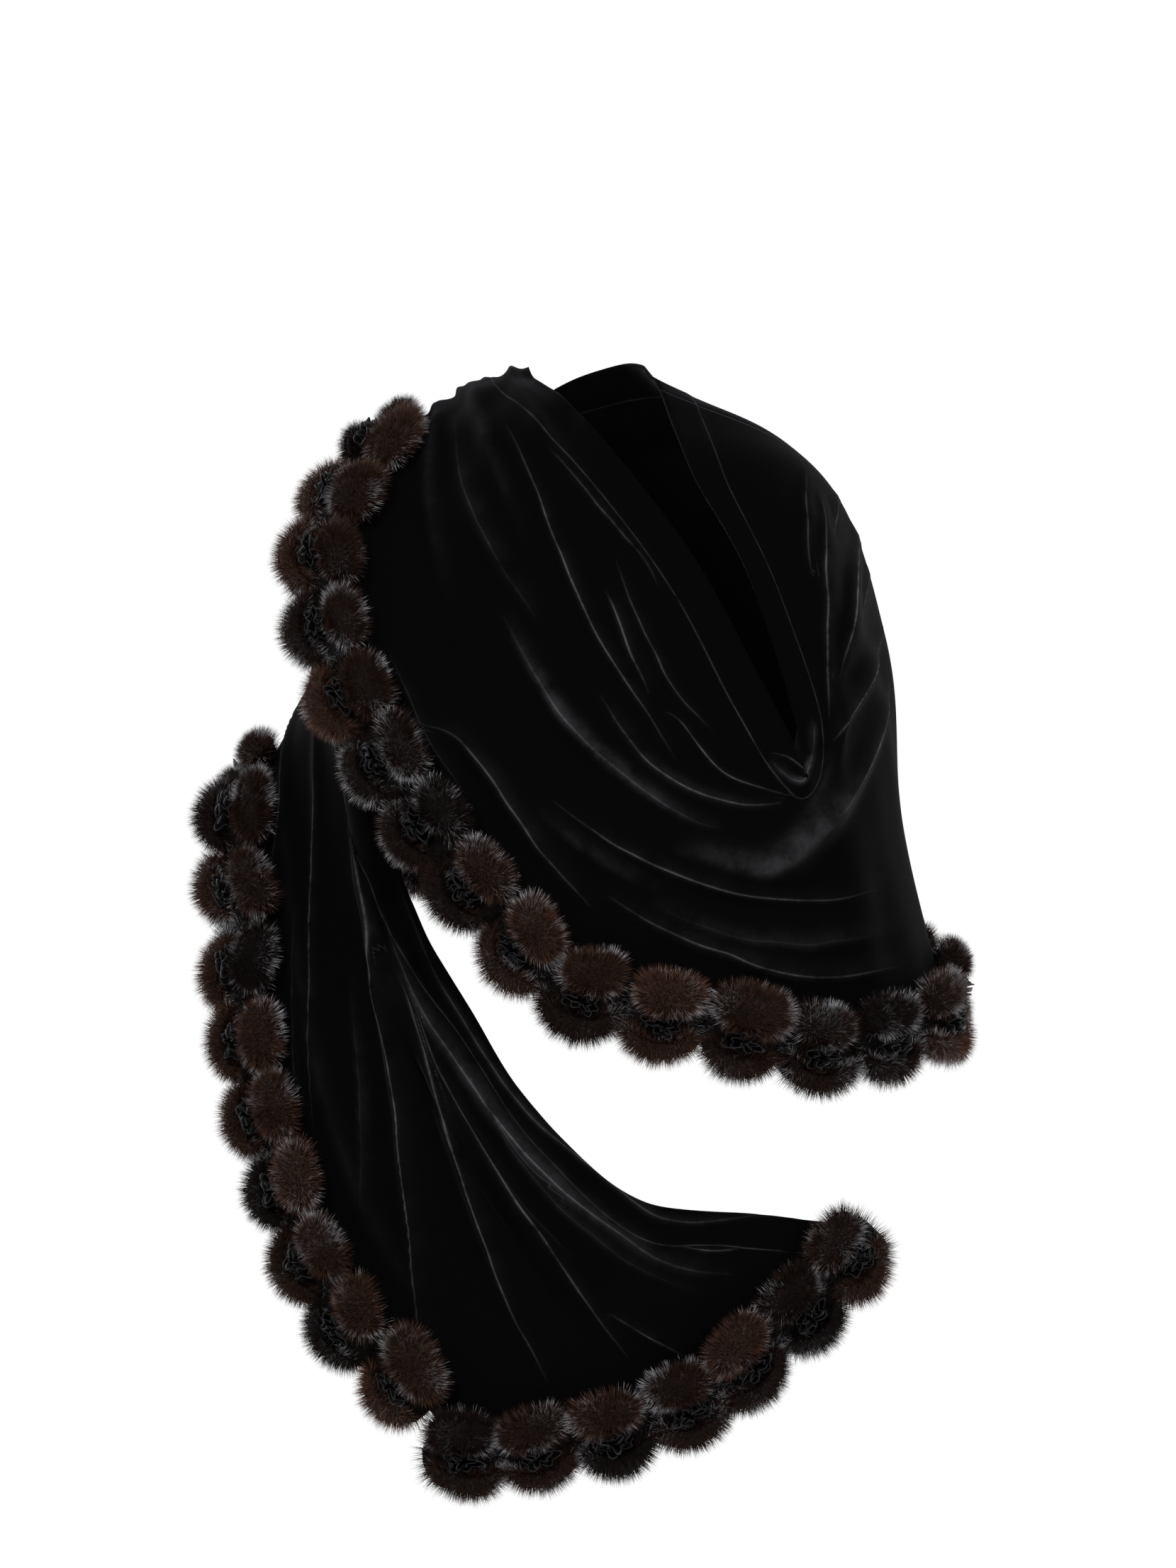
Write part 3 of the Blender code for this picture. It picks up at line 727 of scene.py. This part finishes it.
# The fur rosettes

Rosette = namedtuple("Rosette", "number edge centre")

FUR_LENGTH = 11.0
FUR_WIDTH = 0.41
HAIRS_PER_SQUARE_METRE = 1450000.0
FUR_PIECES = 4
# How far a hair stands up, follows the comb, leans with its lock, strays on its own and droops
HAIR_STAND = 1.00
HAIR_COMB = 0.50
HAIR_LOCKS = 1.20
HAIR_STRAY = 0.24
HAIR_DROOP = 0.10
LOCKS_PER_METRE = 170.0
ROSE_TURNS = 2.1
RIBBON_WALL = 0.5


def edge_coordinates(edge, position):
    """Strip coordinates, along and across, of positions on one of the fur edges."""
    if edge == "long":
        return position, np.ones(len(position))
    return np.full(len(position), 0.0 if edge == "held_end" else LAST), position


def edge_length_table(edge, samples=600):
    """Positions along an edge, beside the millimetres of cloth edge up to each."""
    end = LAST if edge == "long" else END_EDGE_REACH
    position = np.linspace(0.0, end, samples)
    points = smooth_cloth(*edge_coordinates(edge, position))
    steps = np.linalg.norm(points[1:] - points[:-1], axis=1)
    return position, np.concatenate([[0.0], np.cumsum(steps)])


def edge_place(edge, position, outside):
    """Strip coordinates of points that many millimetres square outside positions on an edge."""
    along, across = edge_coordinates(edge, position)
    run, fall = strip_slopes(along, across)
    face = np.cross(run, fall)
    square = {"long": np.cross(face, run), "held_end": np.cross(face, fall), "tail_end": np.cross(fall, face)}
    move = unit(square[edge]) * outside[:, None]
    spread = dot(run, run) * dot(fall, fall) - dot(run, fall) ** 2
    along_step = (dot(move, run) * dot(fall, fall) - dot(move, fall) * dot(run, fall)) / spread
    across_step = (dot(move, fall) * dot(run, run) - dot(move, run) * dot(run, fall)) / spread
    return along + along_step, across + across_step


def rosette_rows():
    """Every rosette in the order of its node: along the held end, the long edge and the tail end."""
    half = ROSETTE_ACROSS / 2
    held = edge_length_table("held_end")
    tail = edge_length_table("tail_end")
    rows = [
        ("held_end", 0.0, float(np.interp(1.0, *held)) + HELD_CORNER_PAST),
        ("long", HELD_CORNER_CLEAR, edge_length_table("long")[1][-1] - half - SEAM_GAP * 2),
        ("tail_end", 0.0, float(np.interp(1.0, *tail)) + half),
    ]
    rosettes = []
    for edge, first, last in rows:
        count = round((last - first) / ROSETTE_PITCH)
        pitch = (last - first) / count
        for place in range(count):
            rosettes.append(Rosette(len(rosettes) + 1, edge, first + pitch * (place + 0.5)))
    return rosettes


def on_cloth(rosette, local):
    """Points given along the edge, outside it and above the cloth, in millimetres, as world points."""
    positions, lengths = edge_length_table(rosette.edge)
    position = np.interp(rosette.centre + local[:, 0], lengths, positions)
    along, across = edge_place(rosette.edge, position, local[:, 1])
    return smooth_cloth(along, across) + outward(along, across) * (local[:, 2:] + ROSETTE_LIFT)


ROSETTE_LIFT = 3.0
ROSETTE_MIDDLE = (0.0, 7.0, 4.0)


def lumps(points, seed):
    """Slow seeded bumps over points in millimetres, from -1 to 1."""
    waves = np.random.default_rng(seed).normal(size=(3, 3)) / 15.0
    phases = np.random.default_rng(seed + 500).uniform(0.0, math.tau, 3)
    return np.mean([np.sin(points @ wave + phase) for wave, phase in zip(waves, phases)], axis=0)


def lobe(shape, rosette, layers, sizes, centre, bend, twist, tone, thickness=1.0):
    """One padded roll of fur: an oval body, bent along the edge and turned by twist. Its hair is combed away
    from the rosette's middle."""
    made = bmesh.ops.create_uvsphere(shape, u_segments=16, v_segments=10, radius=1.0)["verts"]
    local = np.array([vertex.co for vertex in made])
    # its poles lie at the two ends
    local = local[:, [2, 1, 0]] * np.array([1.0, 1.0, -1.0])
    local = np.sign(local) * np.abs(local) ** 0.80 * np.array(sizes)
    bumps = lumps(local + np.array(centre), rosette.number * 7 + int(bend * 900))
    local += unit(local) * (1.3 * bumps)[:, None]
    local[:, 1] -= bend * local[:, 0] ** 2
    turn = np.array([[math.cos(twist), math.sin(twist)], [-math.sin(twist), math.cos(twist)]])
    local[:, :2] = local[:, :2] @ turn
    points = on_cloth(rosette, local + np.array(centre))
    middle = on_cloth(rosette, np.array([ROSETTE_MIDDLE]))[0]
    for vertex, point, place in zip(made, points, local):
        vertex.co = point * MM
        vertex[layers["tone"]] = tone
        # hair grows thick on top and at the sides, and not where the roll rests on the cloth
        height = place[2] / sizes[2]
        outside = place[1] + centre[1]
        growth = np.clip(0.85 + height * 2.4, 0.7 if outside > 8.0 else 0.0, 1.0)
        vertex[layers["growth"]] = float(growth * thickness)
        vertex[layers["rim"]] = float(np.clip(1.30 - 1.25 * height, 0.0, 1.0))
        vertex[layers["comb"]] = unit(point - middle)


# The two rolls of a rosette, in millimetres: half sizes along the edge, outside it and in height, how much
# each varies, how far the roll may sit along the edge, where it lies outside it and above the cloth, its bend
Roll = namedtuple("Roll", "sizes spreads shift outside height bend")

INNER_ROLL = Roll((26.0, 13.5, 11.5), (0.8, 0.7, 0.6), 1.2, -17.5, 12.0, 0.003)
OUTER_ROLL = Roll((29.5, 8.0, 8.5), (1.0, 0.6, 0.6), 1.5, 28.5, 8.0, 0.017)
# The flat pad that joins them
PAD_SIZES = (35.5, 28.0, 5.5)
PAD_CENTRE = (0.0, 3.5, 2.0)
PAD_GROWTH = 0.45


def fur_cores(rosettes):
    """The rolls of fur of some rosettes, without their hair."""
    shape = bmesh.new()
    layers = {name: shape.verts.layers.float.new(name) for name in ("tone", "growth", "rim")}
    layers["comb"] = shape.verts.layers.float_vector.new("comb")
    for rosette in rosettes:
        chance = np.random.default_rng(rosette.number * 31)
        tones = np.clip(chance.normal(0.46, 0.32, 2), 0.06, 1.0)
        twist = chance.normal(0.0, 0.14)
        for roll, turn, tone in ((INNER_ROLL, twist, tones[0]), (OUTER_ROLL, twist * 0.6, tones[1])):
            sizes = tuple(size + chance.normal(0.0, spread) for size, spread in zip(roll.sizes, roll.spreads))
            centre = (chance.normal(0.0, roll.shift), roll.outside, roll.height)
            lobe(shape, rosette, layers, sizes, centre, roll.bend, turn, tone)
        lobe(shape, rosette, layers, PAD_SIZES, PAD_CENTRE, 0.0, 0.0, 0.0, PAD_GROWTH)
    bmesh.ops.recalc_face_normals(shape, faces=shape.faces)
    return shape


def hair_object(material):
    """One guard hair: a thin blade that narrows to its tip, with how far along it each point is."""
    shape = bmesh.new()
    tip = shape.verts.layers.float.new("tip")
    corners = bmesh.ops.create_circle(shape, segments=3, radius=1.0, cap_ends=True)["verts"]
    half, length = FUR_WIDTH / 2 * MM, FUR_LENGTH * MM
    for vertex, place in zip(corners, ((-half, 0.0, 0.0), (half, 0.0, 0.0), (0.0, 0.0, length))):
        vertex.co = place
        vertex[tip] = place[2] / length
    mesh = bpy.data.meshes.new("guard_hair")
    shape.to_mesh(mesh)
    shape.free()
    mesh.materials.append(material)
    return bpy.data.objects.new("guard_hair", mesh)


def random_number(tree, low, high, seed):
    """A number for each hair, between two limits."""
    node = add_node(tree, "FunctionNodeRandomValue", data_type="FLOAT")
    for socket in node.inputs:
        if socket.enabled and socket.name in ("Min", "Max", "Seed"):
            socket.default_value = {"Min": low, "Max": high, "Seed": seed}[socket.name]
    return [socket for socket in node.outputs if socket.enabled][0]


def weighted(tree, vector, weight, added):
    """A vector socket times a weight, plus another vector socket."""
    node = add_node(tree, "ShaderNodeVectorMath", operation="MULTIPLY_ADD")
    tree.links.new(vector, node.inputs[0])
    node.inputs[1].default_value = (weight, weight, weight)
    tree.links.new(added, node.inputs[2])
    return node.outputs[0]


def hair_nodes(hair):
    """Geometry nodes that set hairs on a piece of fur, close together, combed and in small locks."""
    tree = bpy.data.node_groups.new("guard_hairs", "GeometryNodeTree")
    tree.interface.new_socket("Geometry", in_out="INPUT", socket_type="NodeSocketGeometry")
    tree.interface.new_socket("Geometry", in_out="OUTPUT", socket_type="NodeSocketGeometry")
    start, end = tree.nodes.new("NodeGroupInput"), tree.nodes.new("NodeGroupOutput")
    link = tree.links.new
    spread = add_node(tree, "GeometryNodeDistributePointsOnFaces", Seed=3)
    growth = add_node(tree, "GeometryNodeInputNamedAttribute", Name="growth")
    density = maths(tree, "MULTIPLY", growth.outputs["Attribute"], HAIRS_PER_SQUARE_METRE)
    link(start.outputs[0], spread.inputs["Mesh"])
    link(density, spread.inputs["Density"])
    # a hair leans with the comb, with its lock and a little on its own
    own = add_node(tree, "FunctionNodeRandomValue", data_type="FLOAT_VECTOR")
    middle = -HAIR_LOCKS / 2
    for limit, stray in (("Min", -HAIR_STRAY), ("Max", HAIR_STRAY)):
        lean = middle + stray
        own.inputs[limit].default_value = (lean, lean, lean - HAIR_DROOP)
    locks = add_node(tree, "ShaderNodeTexNoise", Scale=LOCKS_PER_METRE, Detail=1.0)
    comb = add_node(tree, "GeometryNodeInputNamedAttribute", data_type="FLOAT_VECTOR", Name="comb")
    heading = weighted(tree, locks.outputs["Color"], HAIR_LOCKS, own.outputs["Value"])
    heading = weighted(tree, comb.outputs["Attribute"], HAIR_COMB, heading)
    heading = weighted(tree, spread.outputs["Normal"], HAIR_STAND, heading)
    aim = add_node(tree, "FunctionNodeAlignRotationToVector", axis="Z")
    link(heading, aim.inputs["Vector"])
    roll = add_node(tree, "FunctionNodeAxisAngleToRotation")
    roll.inputs["Axis"].default_value = (0.0, 0.0, 1.0)
    link(random_number(tree, 0.0, math.tau, 5), roll.inputs["Angle"])
    turn = add_node(tree, "FunctionNodeRotateRotation", rotation_space="LOCAL")
    link(aim.outputs["Rotation"], turn.inputs["Rotation"])
    link(roll.outputs["Rotation"], turn.inputs["Rotate By"])
    source = tree.nodes.new("GeometryNodeObjectInfo")
    source.inputs["Object"].default_value = hair
    mark = add_node(tree, "GeometryNodeStoreNamedAttribute", data_type="FLOAT", domain="POINT")
    mark.inputs["Name"].default_value = "strand"
    link(spread.outputs["Points"], mark.inputs["Geometry"])
    link(random_number(tree, 0.0, 1.0, 0),
         [socket for socket in mark.inputs if socket.name == "Value" and socket.enabled][0])
    place = tree.nodes.new("GeometryNodeInstanceOnPoints")
    link(mark.outputs["Geometry"], place.inputs["Points"])
    link(source.outputs["Geometry"], place.inputs["Instance"])
    link(turn.outputs["Rotation"], place.inputs["Rotation"])
    rim = add_node(tree, "GeometryNodeInputNamedAttribute", Name="rim")
    longer = maths(tree, "MULTIPLY_ADD", rim.outputs["Attribute"], 0.30, 0.80)
    link(maths(tree, "MULTIPLY", random_number(tree, 0.55, 1.12, 9), longer), place.inputs["Scale"])
    real = tree.nodes.new("GeometryNodeRealizeInstances")
    link(place.outputs["Instances"], real.inputs["Geometry"])
    both = tree.nodes.new("GeometryNodeJoinGeometry")
    link(start.outputs[0], both.inputs[0])
    link(real.outputs["Geometry"], both.inputs[0])
    link(both.outputs[0], end.inputs[0])
    return tree


def fur_piece(name, rosettes, tree, material):
    """The fur of some rosettes: their rolls and every hair on them."""
    piece = finished(fur_cores(rosettes), name, material)
    pile = piece.modifiers.new("guard_hairs", "NODES")
    pile.node_group = tree
    apply_modifiers(piece)
    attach(piece, "root")
    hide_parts(*[f"fur_rosette_{rosette.number:02d}" for rosette in rosettes])
    return piece


def rose_piece(name, rosettes, material):
    """The gathered roses of some rosettes: a ruffled strip of velvet wound round itself."""
    shape = bmesh.new()
    lip = shape.verts.layers.float.new("lip")
    for rosette in rosettes:
        chance = np.random.default_rng(rosette.number * 17 + 5)
        made = bmesh.ops.create_grid(shape, x_segments=80, y_segments=3, size=0.5)["verts"]
        flat = np.array([vertex.co for vertex in made]) + 0.5
        turn = flat[:, 0] * ROSE_TURNS * math.tau + chance.uniform(0.0, math.tau)
        ruffle = (np.sin(flat[:, 0] * 83.0 + chance.uniform(0.0, math.tau))
                  + 0.8 * np.sin(flat[:, 0] * 41.0 + chance.uniform(0.0, math.tau)))
        toss = np.sin(flat[:, 0] * 57.0 + chance.uniform(0.0, math.tau))
        radius = 1.5 + 9.5 * flat[:, 0] + flat[:, 1] * (1.5 + 2.2 * ruffle)
        height = 7.0 + flat[:, 1] * (18.0 - 8.0 * flat[:, 0] + 3.0 * toss)
        local = np.stack([1.35 * radius * np.cos(turn), 7.0 + 0.9 * radius * np.sin(turn), height], axis=1)
        for vertex, point, share in zip(made, on_cloth(rosette, local), flat[:, 1]):
            vertex.co = point * MM
            vertex[lip] = share
    bmesh.ops.recalc_face_normals(shape, faces=shape.faces)
    piece = finished(shape, name, material)
    wall = piece.modifiers.new("wall", "SOLIDIFY")
    wall.thickness = RIBBON_WALL * MM
    wall.offset = 0.0
    apply_modifiers(piece)
    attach(piece, "root")
    return piece


def fur_material():
    """Dark mink: brown wool under near-black guard hairs, with pale tips in patches: silver tips along the
    rims, and fainter away from them a painted sheen on the hair. Each roll has its own tone."""
    material, shader = new_material("dark brown fur", (0.02, 0.012, 0.009), 0.60)
    shader.inputs["Specular IOR Level"].default_value = 0.06
    tree = material.node_tree
    tip, tone, strand, rim = attributes(tree, "tip", "tone", "strand", "rim")
    grain = add_grain(tree, shader, Grain_Scale=900.0, Patch_Scale=32.0, Relief=0.6, Depth=0.001,
                      Grain_Height=1.0)
    brown = mix_colours(tree, tone, (0.010, 0.0065, 0.0055), (0.135, 0.064, 0.042))
    depth = maths(tree, "MULTIPLY_ADD", tip, 1.1, maths(tree, "MULTIPLY_ADD", strand, 1.3, -0.70), clamp=True)
    speckle = maths(tree, "MULTIPLY_ADD", grain.outputs["Grain"], 1.8, -0.76, clamp=True)
    depth = maths(tree, "MAXIMUM", depth, speckle)
    wool = mix_colours(tree, depth, (0.0012, 0.001, 0.001), brown)
    # pale hair tips in patches: silver tips along the rims, and elsewhere a fainter painted sheen
    patches = maths(tree, "MULTIPLY_ADD", grain.outputs["Patches"], 14.0, -8.9)
    silver_and_sheen_patches = maths(tree, "MULTIPLY_ADD", strand, 2.6, patches, clamp=True)
    silver_and_sheen_patches = maths(tree, "MULTIPLY", silver_and_sheen_patches, maths(tree, "MULTIPLY_ADD", rim, 0.85, 0.15))
    silver_and_sheen_at_tip = maths(tree, "MULTIPLY_ADD", tip, 2.4, -0.7, clamp=True)
    colour = mix_colours(tree, maths(tree, "MULTIPLY", silver_and_sheen_at_tip, silver_and_sheen_patches), wool, (0.52, 0.52, 0.55))
    tree.links.new(colour, shader.inputs["Base Color"])
    return material


def rose_material():
    """Black gathered ribbon: dull in its depth, with a thin painted highlight along its edges."""
    material, shader = new_material("black ribbon", (0.004, 0.004, 0.005), 0.45, 0.04, 0.4)
    shader.inputs["Specular IOR Level"].default_value = 0.15
    tree = material.node_tree
    lip, = attributes(tree, "lip")
    grain = add_grain(tree, shader, Grain_Scale=700.0, Relief=0.3, Depth=0.0006, Grain_Height=1.0)
    # a painted highlight along the ribbon's edges, broken up by the grain
    edge = maths(tree, "MULTIPLY_ADD", lip, 8.0, -7.1, clamp=True)
    light = maths(tree, "MULTIPLY", edge, grain.outputs["Grain"])
    tree.links.new(mix_colours(tree, light, (0.002, 0.002, 0.0025), (0.022, 0.023, 0.026)),
                   shader.inputs["Base Color"])
    return material


# The camera, the light and the floor

def add_camera():
    data = bpy.data.cameras.new("camera")
    data.sensor_fit = "VERTICAL"
    data.sensor_height = 36.0
    data.lens = 36.0 * -CAMERA_PLACE[1] / FRAME_HEIGHT
    camera = bpy.data.objects.new("camera", data)
    camera.location = CAMERA_PLACE
    camera.rotation_euler = (math.pi / 2, 0.0, 0.0)
    bpy.context.scene.collection.objects.link(camera)
    bpy.context.scene.camera = camera


def add_area_light(name, place, aim, size, power):
    data = bpy.data.lights.new(name, "AREA")
    data.shape = "RECTANGLE"
    data.size, data.size_y = size
    data.energy = power
    light = bpy.data.objects.new(name, data)
    light.location = place
    towards = np.array(aim) - np.array(place)
    flat = math.hypot(towards[0], towards[1])
    light.rotation_euler = (math.atan2(flat, -towards[2]), 0.0, math.atan2(-towards[0], towards[1]))
    bpy.context.scene.collection.objects.link(light)


def add_studio():
    """A pale floor under a pale sky, and soft lights in front and at both sides."""
    floor_shape = bmesh.new()
    bmesh.ops.create_grid(floor_shape, x_segments=2, y_segments=2, size=FLOOR_REACH)
    for vertex in floor_shape.verts:
        vertex.co.z = FLOOR_HEIGHT
    material, shader = new_material("studio floor", (0.86, 0.86, 0.86), 0.9)
    tree = material.node_tree
    grain = add_node(tree, "ShaderNodeTexNoise", Scale=3.0, Detail=2.0)
    tree.links.new(add_node(tree, "ShaderNodeTexCoord").outputs["Object"], grain.inputs["Vector"])
    tree.links.new(mix_colours(tree, grain.outputs["Fac"], (0.85, 0.85, 0.85), (0.87, 0.87, 0.87)),
                   shader.inputs["Base Color"])
    shader.inputs["Emission Color"].default_value = (1.0, 1.0, 1.0, 1.0)
    seen = tree.nodes.new("ShaderNodeLightPath").outputs["Is Camera Ray"]
    tree.links.new(maths(tree, "MULTIPLY", seen, FLOOR_LIFT), shader.inputs["Emission Strength"])
    finished(floor_shape, "studio_floor", material)
    world = bpy.data.worlds.new("studio")
    world.use_nodes = True
    tree = world.node_tree
    sky = tree.nodes["Background"]
    sky.inputs["Color"].default_value = (1.0, 1.0, 1.0, 1.0)
    seen = tree.nodes.new("ShaderNodeLightPath").outputs["Is Camera Ray"]
    tree.links.new(maths(tree, "MULTIPLY_ADD", seen, 1.0 - SKY_LIGHT, SKY_LIGHT), sky.inputs["Strength"])
    bpy.context.scene.world = world
    bpy.context.scene.view_settings.view_transform = "Standard"
    add_area_light("key", (-1.6, -2.6, 1.5), (0.0, 0.0, -0.35), (1.4, 1.4), 90.0)
    add_area_light("fill", (1.9, -2.2, 0.4), (0.0, 0.0, -0.4), (1.2, 1.8), 40.0)
    add_area_light("rim_left", (-1.5, 0.9, 0.3), (0.0, 0.0, -0.4), (0.7, 1.8), 60.0)
    add_area_light("rim_right", (1.5, 0.8, 0.3), (0.1, 0.0, -0.3), (0.7, 1.8), 40.0)


FLOOR_HEIGHT = -1.45
FLOOR_REACH = 2.9
FLOOR_LIFT = 0.62
SKY_LIGHT = 0.30

add_camera()
add_studio()
velvet = velvet_material("black velvet", 0.62, 0.16)
velvet_inside = velvet_material("black velvet inside", 0.3, 0.0)
lookup = crease_lookup()
paths = [crease_path(crease, lookup) for crease in CREASES]
for sheet in SHEETS:
    piece, along, across = cloth_sheet(sheet, paths, velvet, velvet_inside)

fur, ribbon = fur_material(), rose_material()
hair = hair_object(fur)
pile = hair_nodes(hair)
rosettes = rosette_rows()
for part, group in enumerate(np.array_split(np.arange(len(rosettes)), FUR_PIECES), start=1):
    members = [rosettes[index] for index in group]
    fur_piece(f"fur_{part}", members, pile, fur)
    rose_piece(f"roses_{part}", members, ribbon)
bpy.data.node_groups.remove(pile)
bpy.data.objects.remove(hair, do_unlink=True)
